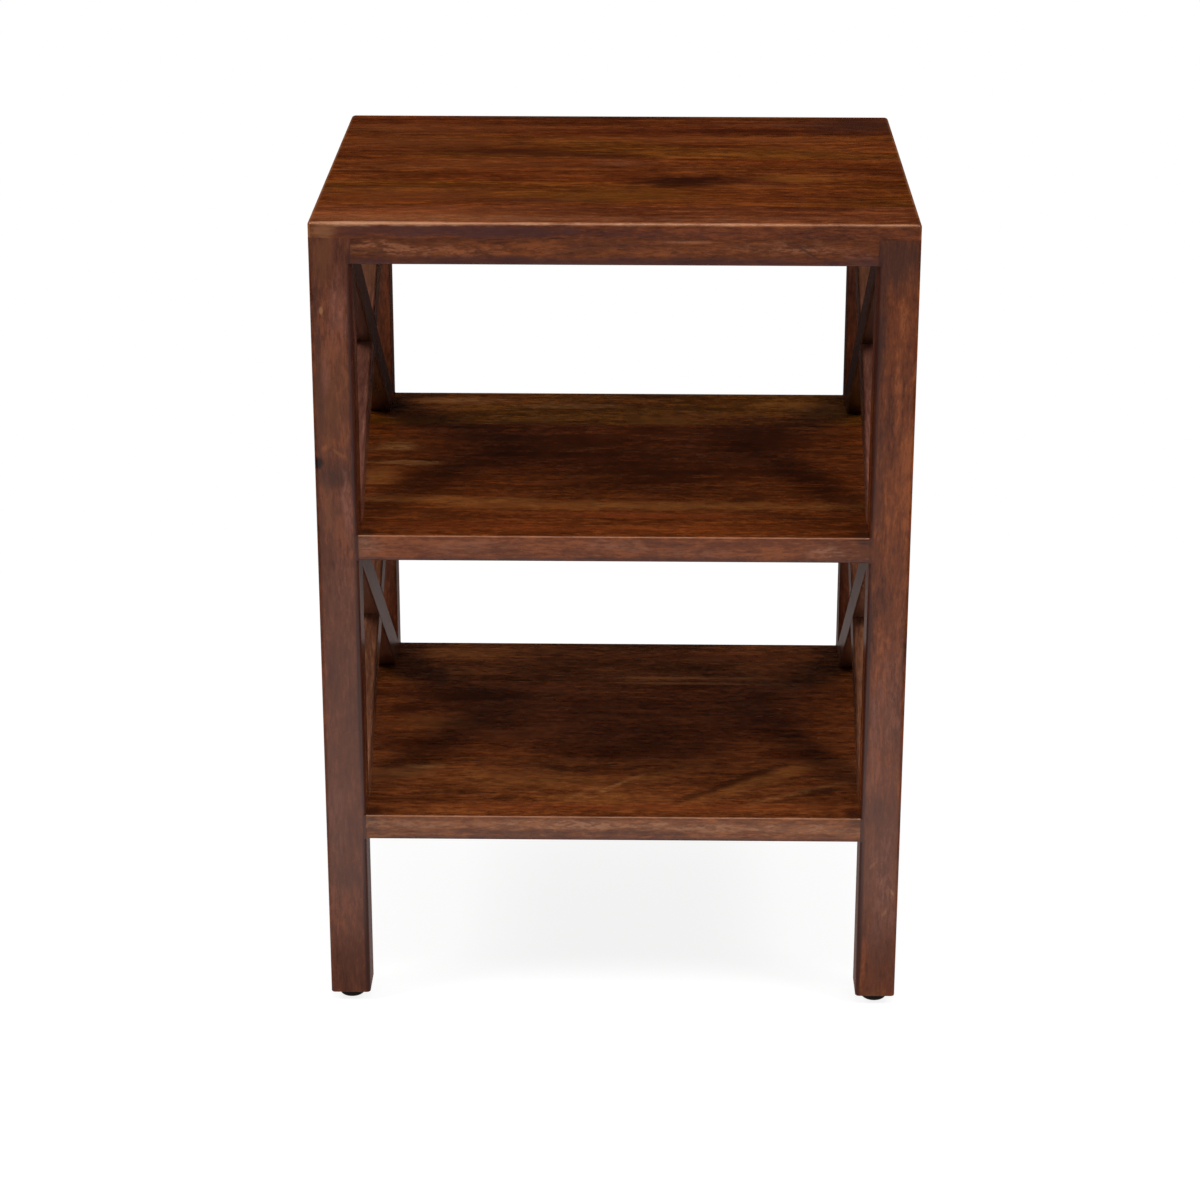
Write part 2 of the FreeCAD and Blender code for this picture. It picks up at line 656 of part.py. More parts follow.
nail = new_pattern("nail_pattern")
nail_half = new_sketch(nail, "nail_half_section", "XZ_Plane")
nail_foot = "(nail_head_recess - nail_head_height)"
nail_tip = "(glide_height + nail_bite)"
draw_outline(nail_half, [("0", nail_foot), ("nail_head / 2", nail_foot),
                         ("nail_head / 2", "nail_head_recess"),
                         ("nail_diameter / 2", "nail_head_recess"),
                         ("nail_diameter / 2", "(%s - nail_point)" % nail_tip), ("0", nail_tip)])
revolve(nail, nail_half)
doc.recompute()


def make_group(name, pattern, places):
    """One node of equal, separate fasteners: each place is three formulas and a turn."""
    copies = []
    for number, (x, y, z, turn) in enumerate(places, start=1):
        copy = doc.addObject("App::Link", "%s_%d" % (name, number))
        copy.LinkedObject = pattern
        place(copy, x, y, z, turn)
        copies.append(copy)
    group = doc.addObject("Part::Compound", name)
    group.Label = name
    group.Links = copies
    pieces.append(group)


ALONG_X = Rotation(Y, QUARTER_TURN)
ALONG_Y = Rotation(X, QUARTER_TURN)
CORNERS = [(side_sign, end_sign) for side, side_sign in SIDES for end, end_sign in ENDS]


def dowels_along_x(levels):
    """Dowels from the legs into the long rails or the shelves."""
    return [(signed(side_sign, HALF_LONG_SPAN), signed(end_sign, DOWEL_Y), level, ALONG_X)
            for side_sign, end_sign in CORNERS for level in levels]


def dowels_along_y(sides, across, levels):
    """Dowels from the legs into the side rails or the braces."""
    return [(signed(side_sign, across), signed(end_sign, HALF_SHORT_SPAN), level, ALONG_Y)
            for side_sign, end_sign in CORNERS if side_sign in sides for level in levels]


make_group("long_rail_dowels", dowel, dowels_along_x(rail_dowel_levels()))
make_group("side_rail_dowels", dowel, dowels_along_y((-1, 1), DOWEL_X, rail_dowel_levels()))
for shelf in SHELVES:
    make_group(shelf + "_dowels", dowel, dowels_along_x([shelf_dowel_level(shelf)]))
for side, side_sign in SIDES:
    make_group(side + "_brace_dowels", dowel, dowels_along_y((side_sign,), BRACE_X, brace_dowel_levels()))

top_count = len(TOP_JOINT_SHARES) + 1
screw_places = [place_of for number in range(top_count) for place_of in screws_of_board(number, top_count)]
make_group("top_screws", screw, [(x, y, RAIL_FOOT, Rotation()) for x, y in screw_places])
make_group("glide_nails", nail, [(signed(side_sign, LEG_X), signed(end_sign, LEG_Y), "0", Rotation())
                                 for side_sign, end_sign in CORNERS])
doc.recompute()

# Nothing is written unless every step of every piece came out whole

for thing in doc.Objects:
    if "Invalid" in thing.State or "Error" in thing.State:
        raise ValueError("%s is %s" % (thing.Name, thing.State))
for piece in pieces:
    if piece.Shape.isNull() or not piece.Shape.isValid():
        raise ValueError(piece.Label + " has no sound shape")

os.makedirs("parts", exist_ok=True)
for piece in pieces:
    piece.Shape.exportStep("parts/%s.step" % piece.Label)
    print("%-36s %3d solids %12.1f mm3" % (piece.Label, len(piece.Shape.Solids), piece.Shape.Volume))
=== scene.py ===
import math

import bmesh
import bpy
from mathutils import Euler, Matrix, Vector


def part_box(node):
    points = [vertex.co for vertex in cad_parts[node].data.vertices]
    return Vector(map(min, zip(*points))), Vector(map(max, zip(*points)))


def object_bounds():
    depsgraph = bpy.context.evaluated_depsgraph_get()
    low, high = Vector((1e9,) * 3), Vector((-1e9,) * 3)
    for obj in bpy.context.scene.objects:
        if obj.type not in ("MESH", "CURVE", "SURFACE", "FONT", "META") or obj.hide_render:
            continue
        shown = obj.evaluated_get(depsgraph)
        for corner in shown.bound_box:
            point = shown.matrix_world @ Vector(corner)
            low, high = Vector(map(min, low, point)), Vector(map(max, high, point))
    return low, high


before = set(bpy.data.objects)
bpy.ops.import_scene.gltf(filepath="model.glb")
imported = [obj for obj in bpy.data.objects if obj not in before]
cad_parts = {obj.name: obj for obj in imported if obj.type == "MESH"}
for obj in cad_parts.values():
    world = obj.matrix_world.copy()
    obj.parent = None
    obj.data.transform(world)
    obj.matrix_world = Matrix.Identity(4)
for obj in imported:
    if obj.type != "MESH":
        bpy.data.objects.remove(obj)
cad_low, cad_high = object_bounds()
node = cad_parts

# Photographer's corner: a round sheet of white paper on the floor, the camera on a tall stand in front, one
# soft box high in front and one at each side, whose light comes in between the crossed braces.
scene = bpy.context.scene
scene.view_settings.view_transform = "Standard"

# The camera is fitted to the table's straight edges in the photograph. Lengths in it are in its pixels.
PHOTO_SIDE = 1200
FOCAL_LENGTH = 3187.703
LENS_MIDDLE_X, LENS_MIDDLE_Y = 604.95, 575.06
SENSOR_WIDTH = 36
camera = bpy.data.objects.new("camera", bpy.data.cameras.new("camera"))
scene.collection.objects.link(camera)
camera.location = (0.025168, -2.361010, 1.157598)
camera.rotation_euler = Euler([math.radians(angle) for angle in (69.708, -0.064, 0.848)], "XYZ")
camera.data.sensor_width = SENSOR_WIDTH
camera.data.lens = FOCAL_LENGTH / PHOTO_SIDE * SENSOR_WIDTH
camera.data.shift_x = (PHOTO_SIDE / 2 - LENS_MIDDLE_X) / PHOTO_SIDE
camera.data.shift_y = (LENS_MIDDLE_Y - PHOTO_SIDE / 2) / PHOTO_SIDE
camera.data.clip_start, camera.data.clip_end = 0.1, 40
scene.camera = camera


def soft_box(name, place, aim, wide, high, power):
    """A lamp behind a square of white cloth, in metres and watts."""
    lamp = bpy.data.objects.new(name, bpy.data.lights.new(name, "AREA"))
    lamp.data.shape = "RECTANGLE"
    lamp.data.size, lamp.data.size_y = wide, high
    lamp.data.energy = power
    lamp.location = place
    lamp.rotation_euler = (Vector(aim) - Vector(place)).to_track_quat("-Z", "Y").to_euler()
    scene.collection.objects.link(lamp)


soft_box("front_soft_box", place=(0.1, -1.15, 2.6), aim=(0, 0, 0.35), wide=1.3, high=0.8, power=17)
soft_box("left_soft_box", place=(-1.70, -0.66, 1.80), aim=(0, 0, 0.3), wide=0.75, high=0.75, power=23)
soft_box("right_soft_box", place=(1.60, -0.80, 1.90), aim=(0, 0, 0.3), wide=0.75, high=0.75, power=21.6)


def put(tree, kind, sockets=None, **settings):
    """Add a shader node, set it up, and feed its sockets with values or with other nodes' outputs."""
    made = tree.nodes.new("ShaderNode" + kind)
    for name, value in settings.items():
        setattr(made, name, value)
    for name, value in (sockets or {}).items():
        if isinstance(value, bpy.types.NodeSocket):
            tree.links.new(value, made.inputs[name])
        else:
            made.inputs[name].default_value = value
    return made


def sums(tree, work, *terms, clamp=False):
    """One step of arithmetic on numbers."""
    step = put(tree, "Math", {i: term for i, term in enumerate(terms)}, operation=work, use_clamp=clamp)
    return step.outputs[0]


def ramp(tree, value, low, high, first=0.0, last=1.0):
    """A soft step from one number to another while a value goes from low to high."""
    ends = {"From Min": low, "From Max": high, "To Min": first, "To Max": last}
    return put(tree, "MapRange", {"Value": value, **ends}, interpolation_type="SMOOTHSTEP").outputs[0]


def blend(tree, share, first, second, kind="MIX"):
    """Mix two colours."""
    made = put(tree, "Mix", data_type="RGBA", blend_type=kind)
    for socket, value in ((0, share), (6, first), (7, second)):
        if isinstance(value, bpy.types.NodeSocket):
            tree.links.new(value, made.inputs[socket])
        else:
            made.inputs[socket].default_value = value
    return made.outputs[2]


# The lens sees a white room. The wall in front is dim and the one behind lighter, which reaches the backs
# of the shelves. Glossy faces mirror a white floor in front, a little brown light from low behind, and
# hardly the walls. A ray's Y is 1 straight back, and its Z is -1 straight down.
WHITE = (1, 1, 1, 1)
BROWN_LIGHT = (1.0, 0.52, 0.42, 1)
MIRRORED_LOW_BEHIND = 0.055
MIRRORED_WALL_SHARE = 0.004
WALL_IN_FRONT, WALL_BEHIND = 0.2, 0.75
room = bpy.data.worlds.new("room")
scene.world = room
room.use_nodes = True
room.cycles.sampling_method = "NONE"
tree = room.node_tree
tree.nodes.clear()
ray = put(tree, "LightPath").outputs
toward = put(tree, "SeparateXYZ", {0: put(tree, "TexCoord").outputs["Generated"]}).outputs
floor_in_front = sums(tree, "MULTIPLY", ramp(tree, toward["Z"], -0.40, -0.18, 1, 0),
                      ramp(tree, toward["Y"], -0.85, -0.55, 1, 0))
floor_behind = sums(tree, "MULTIPLY", ramp(tree, toward["Z"], -0.3, -0.255, 0, MIRRORED_LOW_BEHIND),
                    ramp(tree, toward["Z"], -0.2, -0.1, 1, 0))
mirroring = sums(tree, "MAXIMUM", ray["Is Glossy Ray"], ray["Is Transmission Ray"])
mirrored = sums(tree, "MULTIPLY", sums(tree, "MAXIMUM", floor_in_front, floor_behind), mirroring)
white = sums(tree, "MAXIMUM", mirrored, ray["Is Camera Ray"], clamp=True)
wall = ramp(tree, toward["Y"], -0.1, 0.4, WALL_IN_FRONT, WALL_BEHIND)
wall = sums(tree, "MULTIPLY", wall, ramp(tree, mirroring, 0, 1, 1, MIRRORED_WALL_SHARE))
gloom = put(tree, "Background", {"Color": WHITE, "Strength": wall}).outputs[0]
behind = sums(tree, "MULTIPLY", mirroring, ramp(tree, toward["Y"], -0.1, 0.2))
bright_tone = blend(tree, behind, WHITE, BROWN_LIGHT)
bright = put(tree, "Background", {"Color": bright_tone, "Strength": 1.0}).outputs[0]
seen_room = put(tree, "MixShader", {0: white, 1: gloom, 2: bright}).outputs[0]
put(tree, "OutputWorld", {0: seen_room})

SHEET_RADIUS = 1.1
sheet_mesh = bpy.data.meshes.new("paper_sheet")
form = bmesh.new()
bmesh.ops.create_circle(form, cap_ends=True, segments=96, radius=SHEET_RADIUS)
form.to_mesh(sheet_mesh)
form.free()
sheet = bpy.data.objects.new("paper_sheet", sheet_mesh)
scene.collection.objects.link(sheet)

# The camera sees white paper that keeps the table's shadow near it. Glossy faces mirror it white in front
# of the table, and dim and warm beside and behind it. To all other light it is matt.
WARM = (1.0, 0.80, 0.75, 1)
DIM_NEAR, DIM_FAR = 0.25, 0.09
GLOW_SHARE, SHADOW_GREY, MATT_GREY = 0.86, (0.22, 0.22, 0.22, 1), (0.8, 0.8, 0.8, 1)
paper = bpy.data.materials.new("white_paper")
paper.use_nodes = True
tree = paper.node_tree
tree.nodes.clear()
ray = put(tree, "LightPath").outputs
seen = sums(tree, "MAXIMUM", ray["Is Glossy Ray"], ray["Is Transmission Ray"])
seen = sums(tree, "MAXIMUM", ray["Is Camera Ray"], seen)
on_paper = put(tree, "TexCoord").outputs["Object"]
reach = put(tree, "VectorMath", {0: on_paper}, operation="LENGTH").outputs["Value"]
along = put(tree, "SeparateXYZ", {0: on_paper}).outputs
beside = ramp(tree, sums(tree, "ABSOLUTE", along["X"]), 0.35, 0.6)
beside_or_behind = sums(tree, "MAXIMUM", ramp(tree, along["Y"], -0.42, -0.17), beside)
mirrored_there = sums(tree, "MULTIPLY", beside_or_behind, sums(tree, "SUBTRACT", 1.0, ray["Is Camera Ray"]))
in_full = sums(tree, "SUBTRACT", 1.0, mirrored_there)
level = sums(tree, "MAXIMUM", ramp(tree, reach, 0.45, 1.05, DIM_NEAR, DIM_FAR), in_full)
tone = blend(tree, in_full, WARM, WHITE)
plain = put(tree, "Emission", {"Color": tone, "Strength": level}).outputs[0]
dimmed = sums(tree, "MULTIPLY", level, GLOW_SHARE)
glow = put(tree, "Emission", {"Color": tone, "Strength": dimmed}).outputs[0]
shaded = put(tree, "BsdfDiffuse", {"Color": SHADOW_GREY}).outputs[0]
with_shadow = put(tree, "AddShader", {0: glow, 1: shaded}).outputs[0]
shadowless = sums(tree, "MAXIMUM", ramp(tree, reach, 0.55, 1.0), sums(tree, "SUBTRACT", 1.0, in_full))
shown = put(tree, "MixShader", {0: shadowless, 1: with_shadow, 2: plain}).outputs[0]
matt = put(tree, "BsdfDiffuse", {"Color": MATT_GREY}).outputs[0]
put(tree, "OutputMaterial", {0: put(tree, "MixShader", {0: seen, 1: matt, 2: shown}).outputs[0]})
sheet_mesh.materials.append(paper)

# Legs: four square posts of close-grained hardwood, 30 mm across, stained walnut brown and sprayed with a
# satin lacquer that leaves the pores open. Rails, shelves and braces are doweled and glued to them.


def new_group(name, takes, gives):
    """An empty shader group with named sockets, and its two ends."""
    group = bpy.data.node_groups.new(name, "ShaderNodeTree")
    for label, kind, value in takes:
        socket = group.interface.new_socket(label, in_out="INPUT", socket_type="NodeSocket" + kind)
        if value is not None:
            socket.default_value = value
    for label, kind in gives:
        group.interface.new_socket(label, in_out="OUTPUT", socket_type="NodeSocket" + kind)
    return group, group.nodes.new("NodeGroupInput").outputs, group.nodes.new("NodeGroupOutput").inputs


def stretched(tree, place, scale, detail, rough=0.5):
    """Noise whose spots are long where scale is small."""
    at = put(tree, "VectorMath", {0: place, 1: scale}, operation="MULTIPLY").outputs[0]
    return put(tree, "TexNoise", {"Vector": at, "Scale": 1.0, "Detail": detail, "Roughness": rough})


def swing(tree, value, amount):
    """A noise value round one half, as a change up or down from nothing."""
    return sums(tree, "MULTIPLY", sums(tree, "SUBTRACT", value, 0.5), amount)


# The grain runs along X of the place that goes in. Bands, streaks, mottles, fibres and clouds push the tone
# up and down between dark, body and light.
SWAY = 0.02
STREAKS_TO_BANDS = 1.6
PORE_SHARE = 0.35
LACQUER_ROUGHNESS, ROUGHNESS_SPREAD = 0.18, 0.16
grain, takes, gives = new_group(
    "stained_grain",
    [("Place", "Vector", None), ("Dark", "Color", None), ("Body", "Color", None), ("Light", "Color", None),
     ("Tinge", "Color", (1.0, 1.0, 1.0, 1)), ("Streaks", "Float", 1.0), ("Fibres", "Float", 0.8),
     ("Clouds", "Float", 0.8), ("Mottles", "Float", 0.8), ("Flecks", "Float", 0.2)],
    [("Color", "Color"), ("Roughness", "Float"), ("Height", "Float")],
)
sway = stretched(grain, takes["Place"], (5, 14, 14), 2).outputs["Color"]
sway = put(grain, "VectorMath", {0: sway, 1: (0.5, 0.5, 0.5)}, operation="SUBTRACT").outputs[0]
sway = put(grain, "VectorMath", {0: sway, "Scale": SWAY}, operation="SCALE").outputs[0]
run = put(grain, "VectorMath", {0: takes["Place"], 1: sway}, operation="ADD").outputs[0]
band = stretched(grain, run, (7, 60, 60), 3, 0.6).outputs[0]
streak = stretched(grain, run, (22, 150, 150), 5, 0.72).outputs[0]
fibre = stretched(grain, run, (70, 560, 560), 4, 0.75).outputs[0]
mottle = stretched(grain, takes["Place"], (120, 260, 260), 4, 0.75).outputs[0]
cloud = stretched(grain, takes["Place"], (10, 24, 24), 4, 0.6).outputs[0]
tinged = ramp(grain, stretched(grain, takes["Place"], (5, 16, 16), 2).outputs[0], 0.40, 0.62)
dash = ramp(grain, stretched(grain, run, (95, 420, 420), 2, 0.6).outputs[0], 0.54, 0.70)
pore = ramp(grain, stretched(grain, run, (70, 1300, 1300), 1).outputs[0], 0.60, 0.72)
tone = sums(grain, "ADD", swing(grain, band, takes["Streaks"]), 0.5)
streaky = sums(grain, "MULTIPLY", takes["Streaks"], STREAKS_TO_BANDS)
tone = sums(grain, "ADD", tone, swing(grain, streak, streaky))
tone = sums(grain, "ADD", tone, swing(grain, mottle, takes["Mottles"]))
tone = sums(grain, "ADD", tone, swing(grain, fibre, takes["Fibres"]))
tone = sums(grain, "ADD", tone, swing(grain, cloud, takes["Clouds"]))
colour = blend(grain, ramp(grain, tone, 0.02, 0.52), takes["Dark"], takes["Body"])
colour = blend(grain, ramp(grain, tone, 0.48, 0.98), colour, takes["Light"])
colour = blend(grain, sums(grain, "MULTIPLY", dash, takes["Flecks"]), colour, takes["Light"])
colour = blend(grain, tinged, colour, takes["Tinge"], "MULTIPLY")
colour = blend(grain, sums(grain, "MULTIPLY", pore, PORE_SHARE), colour, takes["Dark"])
grain.links.new(colour, gives["Color"])
spread = sums(grain, "MULTIPLY", cloud, ROUGHNESS_SPREAD)
grain.links.new(sums(grain, "ADD", LACQUER_ROUGHNESS, spread), gives["Roughness"])
grain.links.new(sums(grain, "SUBTRACT", fibre, pore), gives["Height"])

# A spot with a ragged outline, drawn out along the grain: a knot, or wood that took the stain otherwise.
RAGGED_REACH = 4.0
spot, takes, gives = new_group(
    "stain_spot",
    [("Place", "Vector", None), ("Grain", "Vector", None), ("Middle", "Vector", None),
     ("Reach", "Vector", (0.02, 0.02, 0.02)), ("Axis", "Vector", (0, 0, 1)), ("Turn", "Float", 0.0),
     ("Ragged", "Float", 0.6), ("Softness", "Float", 0.5)],
    [("Mask", "Float")],
)
off = put(spot, "VectorMath", {0: takes["Place"], 1: takes["Middle"]}, operation="SUBTRACT").outputs[0]
off = put(spot, "VectorRotate", {"Vector": off, "Axis": takes["Axis"], "Angle": takes["Turn"]}).outputs[0]
off = put(spot, "VectorMath", {0: off, 1: takes["Reach"]}, operation="DIVIDE").outputs[0]
torn = stretched(spot, takes["Grain"], (40, 130, 130), 5, 0.7).outputs[0]
far = put(spot, "VectorMath", {0: off}, operation="LENGTH").outputs["Value"]
far = sums(spot, "ADD", far, sums(spot, "MULTIPLY", swing(spot, torn, RAGGED_REACH), takes["Ragged"]))
inner = sums(spot, "SUBTRACT", 1.0, takes["Softness"])
outer = sums(spot, "ADD", 1.0, takes["Softness"])
mask = ramp(spot, far, inner, outer, 1.0, 0.0)
crumb = ramp(spot, stretched(spot, takes["Grain"], (100, 380, 380), 4, 0.7).outputs[0], 0.42, 0.58)
kept = ramp(spot, takes["Ragged"], 0.5, 1.1, 1.0, 0.1)
spot.links.new(sums(spot, "MULTIPLY", mask, sums(spot, "MAXIMUM", crumb, kept)), gives["Mask"])

# How near a place on a squared piece is to one of its edges, where the stain is rubbed thin and a highlight
# is painted.
edge_wear_and_highlight, takes, gives = new_group(
    "rubbed_and_highlit_edge",
    [("Place", "Vector", None), ("Low", "Vector", None), ("High", "Vector", None),
     ("Width", "Float", 0.003)],
    [("Mask", "Float")],
)
below = put(edge_wear_and_highlight, "VectorMath", {0: takes["Place"], 1: takes["Low"]}, operation="SUBTRACT").outputs[0]
above = put(edge_wear_and_highlight, "VectorMath", {0: takes["High"], 1: takes["Place"]}, operation="SUBTRACT").outputs[0]
nearer = put(edge_wear_and_highlight, "VectorMath", {0: below, 1: above}, operation="MINIMUM").outputs[0]
inside = put(edge_wear_and_highlight, "SeparateXYZ", {0: nearer}).outputs
nearest = sums(edge_wear_and_highlight, "MINIMUM", sums(edge_wear_and_highlight, "MINIMUM", inside[0], inside[1]), inside[2])
farthest = sums(edge_wear_and_highlight, "MAXIMUM", sums(edge_wear_and_highlight, "MAXIMUM", inside[0], inside[1]), inside[2])
total = sums(edge_wear_and_highlight, "ADD", sums(edge_wear_and_highlight, "ADD", inside[0], inside[1]), inside[2])
second = sums(edge_wear_and_highlight, "SUBTRACT", sums(edge_wear_and_highlight, "SUBTRACT", total, nearest), farthest)
broken = put(edge_wear_and_highlight, "TexNoise", {"Vector": takes["Place"], "Scale": 45.0, "Detail": 4.0}).outputs[0]
near = ramp(edge_wear_and_highlight, second, 0.0, takes["Width"], 1.0, 0.0)
edge_wear_and_highlight.links.new(sums(edge_wear_and_highlight, "MULTIPLY", near, ramp(edge_wear_and_highlight, broken, 0.3, 0.6, 0.35, 1.0)), gives["Mask"])


def tint(red, green, blue):
    """A colour as a screen shows it, 0 to 255, in the linear values that shaders take."""
    def linear(v):
        v = v / 255
        return v / 12.92 if v <= 0.04045 else ((v + 0.055) / 1.055) ** 2.4
    return (linear(red), linear(green), linear(blue), 1)


DARKER_SHARES, LIGHTER_SHARES = (0.5, 0.56, 0.55), (0.95, 1.15, 1.15)


def stain(red, green, blue, depth=1.0):
    """The dark, plain and light tones of a board whose plain tone is given as a screen shows it."""
    body = tint(red, green, blue)
    dark = [part * (1 - share * depth) for part, share in zip(body, DARKER_SHARES)]
    light = [part * (1 + share * depth) for part, share in zip(body, LIGHTER_SHARES)]
    return (*dark, 1), body, (*light, 1)


ALONG_X, ALONG_Y, ALONG_Z = (0, 0, 0), (0, 0, -90), (0, 90, 0)
# A tinge multiplies the colour of part of a board.
REDDISH, OLIVE, PLAIN = (1.0, 0.84, 0.75, 1), (1.0, 1.22, 0.85, 1), (1, 1, 1, 1)
# The rubbed edge lines are partly worn stain and partly a painted highlight.
WEAR_AND_HIGHLIGHT_SHARE = 0.8
BUMP_SHARE, BUMP_HEIGHT = 0.3, 0.0002


def wood(name, run, shift, tones, streaks=1.0, fibres=2.0, clouds=0.9, mottles=1.2, flecks=0.2, tinge=PLAIN,
         marks=(), face=(0, 0, 1), box=None, worn=PLAIN, width=0.003, front=None, gloss=0.42):
    """Stained wood, whose grain is turned by run, in degrees, and moved by shift.

    A mark is its middle, reach, colour, strength, raggedness, softness and turn, on a face with this
    normal. Edges of the box are rubbed lighter for a width, as worn stain and a painted highlight, and
    front holds the tones of the front face's cut.
    """
    made = bpy.data.materials.new(name)
    made.use_nodes = True
    tree = made.node_tree
    tree.nodes.clear()
    place = put(tree, "TexCoord").outputs["Object"]
    turn = [math.radians(angle) for angle in run]
    turned = put(tree, "Mapping", {"Vector": place, "Location": shift, "Rotation": turn}).outputs[0]
    cut = put(tree, "Group", {
        "Place": turned, "Dark": tones[0], "Body": tones[1], "Light": tones[2], "Streaks": streaks,
        "Fibres": fibres, "Clouds": clouds, "Mottles": mottles, "Flecks": flecks, "Tinge": tinge,
    }, node_tree=grain).outputs
    colour = cut["Color"]
    if front is not None:
        backward = put(tree, "SeparateXYZ", {0: put(tree, "NewGeometry").outputs["Normal"]}).outputs["Y"]
        edge_cut = put(tree, "Group", {
            "Place": turned, "Dark": front[0], "Body": front[1], "Light": front[2], "Streaks": 1.0,
            "Fibres": 1.8, "Clouds": 1.0, "Mottles": 1.4, "Flecks": 0.6,
        }, node_tree=grain).outputs
        colour = blend(tree, ramp(tree, backward, -0.85, -0.45, 1, 0), colour, edge_cut["Color"])
    for middle, reach, shade, strength, ragged, softness, lean in marks:
        mark = put(tree, "Group", {
            "Place": place, "Grain": turned, "Middle": middle, "Reach": reach, "Axis": face,
            "Turn": -math.radians(lean), "Ragged": ragged, "Softness": softness,
        }, node_tree=spot).outputs[0]
        colour = blend(tree, sums(tree, "MULTIPLY", mark, strength), colour, shade)
    if box is not None:
        low_corner, high_corner = box
        edge = put(tree, "Group", {"Place": place, "Low": low_corner, "High": high_corner, "Width": width},
                   node_tree=edge_wear_and_highlight).outputs[0]
        colour = blend(tree, sums(tree, "MULTIPLY", edge, WEAR_AND_HIGHLIGHT_SHARE), colour, worn)
    bump = put(tree, "Bump", {"Height": cut["Height"], "Strength": BUMP_SHARE, "Distance": BUMP_HEIGHT})
    skin = put(tree, "BsdfPrincipled", {"Base Color": colour, "Roughness": cut["Roughness"],
                                        "Normal": bump.outputs[0], "Specular IOR Level": gloss})
    put(tree, "OutputMaterial", {0: skin.outputs[0]})
    return made


def dress(name, material):
    """Give a CAD piece its finish."""
    node[name].data.materials.clear()
    node[name].data.materials.append(material)


MM = 0.001
MARK_DEPTH = 12 * MM
FRONT_FACE = cad_low[1]


def on_front(*rows):
    """Marks on a front face. A row is x, z, half width, half height in mm, then the look, as in wood."""
    return [((x * MM, FRONT_FACE, z * MM), (wide * MM, MARK_DEPTH, high * MM), *look)
            for x, z, wide, high, *look in rows]


def painted_inner_corner_shade(x):
    """Painted shade down a leg's rounded inner corner, one dark line for each stretch between floor,
    shelves and rail.
    """
    stretches = ((66, 84), (258, 116), (481, 116))
    return on_front(*((x, middle, 2.6, high, CORNER_SHADE, 0.85, 0.1, 0.4, 0) for middle, high in stretches))


BROWN = tint(118, 68, 38)
TAN = tint(160, 108, 70)
DUSK = tint(62, 34, 26)
INK = tint(38, 20, 14)
EMBER = tint(150, 80, 42)
ROSE = tint(150, 92, 74)
COPPER = tint(150, 86, 46)
# The colour of the painted shade on the legs' inner corners.
CORNER_SHADE = tint(58, 26, 20)
CLAY = tint(112, 66, 48)
left_marks = on_front(
    (-194, 552, 5, 22, ROSE, 0.85, 0.85, 0.6, 0), (-200, 540, 3, 26, ROSE, 0.5, 0.85, 0.6, 0),
    (-208, 549, 1.4, 2.8, TAN, 0.9, 0.1, 0.4, 0), (-207, 590, 7, 16, BROWN, 0.6, 0.6, 0.8, 0),
    (-203, 484, 12, 34, BROWN, 0.5, 0.6, 0.7, 0), (-206, 505, 3, 14, ROSE, 0.5, 0.8, 0.7, 0),
    (-207, 447, 4, 2, COPPER, 0.75, 0.9, 0.7, -30), (-199, 443, 6, 1.6, COPPER, 0.85, 0.8, 0.7, 40),
    (-200, 451, 8, 5, EMBER, 0.5, 0.8, 0.7, 0), (-203, 424, 16, 8, DUSK, 0.7, 0.6, 0.7, 0),
    (-214, 435, 4, 5, INK, 1.0, 0.15, 0.45, 0), (-194, 402, 3.5, 17, ROSE, 0.85, 0.85, 0.6, 0),
    (-206, 395, 4, 18, BROWN, 0.6, 0.9, 0.7, 0), (-196, 330, 9, 40, ROSE, 0.35, 0.9, 0.8, 0),
    (-198, 30, 12, 22, DUSK, 0.4, 0.6, 0.8, 0), (-204, 285, 10, 18, DUSK, 0.3, 0.6, 0.8, 0),
    (-211, 500, 3, 40, DUSK, 0.4, 0.6, 0.8, 0), (-200, 104, 9, 10, DUSK, 0.65, 0.4, 0.8, 0),
    (-208, 160, 8, 25, ROSE, 0.4, 0.9, 0.8, 0), (-192, 240, 4, 60, DUSK, 0.4, 0.6, 0.8, 0),
    (-201, 190, 20, 180, CLAY, 0.45, 0.4, 0.8, 0)) + painted_inner_corner_shade(-187)
right_marks = on_front(
    (201, 588, 16, 20, DUSK, 0.75, 0.5, 0.7, 0), (191, 540, 3, 45, DUSK, 0.6, 0.6, 0.8, 0),
    (205, 545, 2.5, 16, EMBER, 0.9, 0.9, 0.7, 0), (203, 485, 2, 36, EMBER, 0.85, 0.9, 0.8, 0),
    (210, 430, 4.5, 26, EMBER, 0.85, 0.9, 0.8, 0), (201, 380, 3, 50, EMBER, 0.5, 0.9, 0.8, 0),
    (210, 300, 3, 60, EMBER, 0.5, 0.9, 0.8, 0), (192, 420, 3, 60, DUSK, 0.35, 0.6, 0.8, 0),
    (196, 210, 4, 50, ROSE, 0.5, 0.9, 0.8, 0), (204, 250, 8, 40, ROSE, 0.4, 1.0, 0.8, 0),
    (201, 105, 18, 130, CLAY, 0.5, 0.4, 0.8, 0), (206, 90, 9, 40, ROSE, 0.5, 1.0, 0.8, 0),
    (198, 165, 10, 12, DUSK, 0.45, 0.7, 0.8, 0),
    (206, 78, 1.2, 3, TAN, 0.7, 0.8, 0.6, 30), (211, 96, 0.9, 3, TAN, 0.8, 0.8, 0.6, -30),
    (196, 118, 0.9, 3, TAN, 0.6, 0.8, 0.6, 40), (203, 104, 0.8, 4, TAN, 0.5, 0.8, 0.6, 15),
    (205, 45, 12, 25, DUSK, 0.35, 0.8, 0.8, 0)) + painted_inner_corner_shade(187)
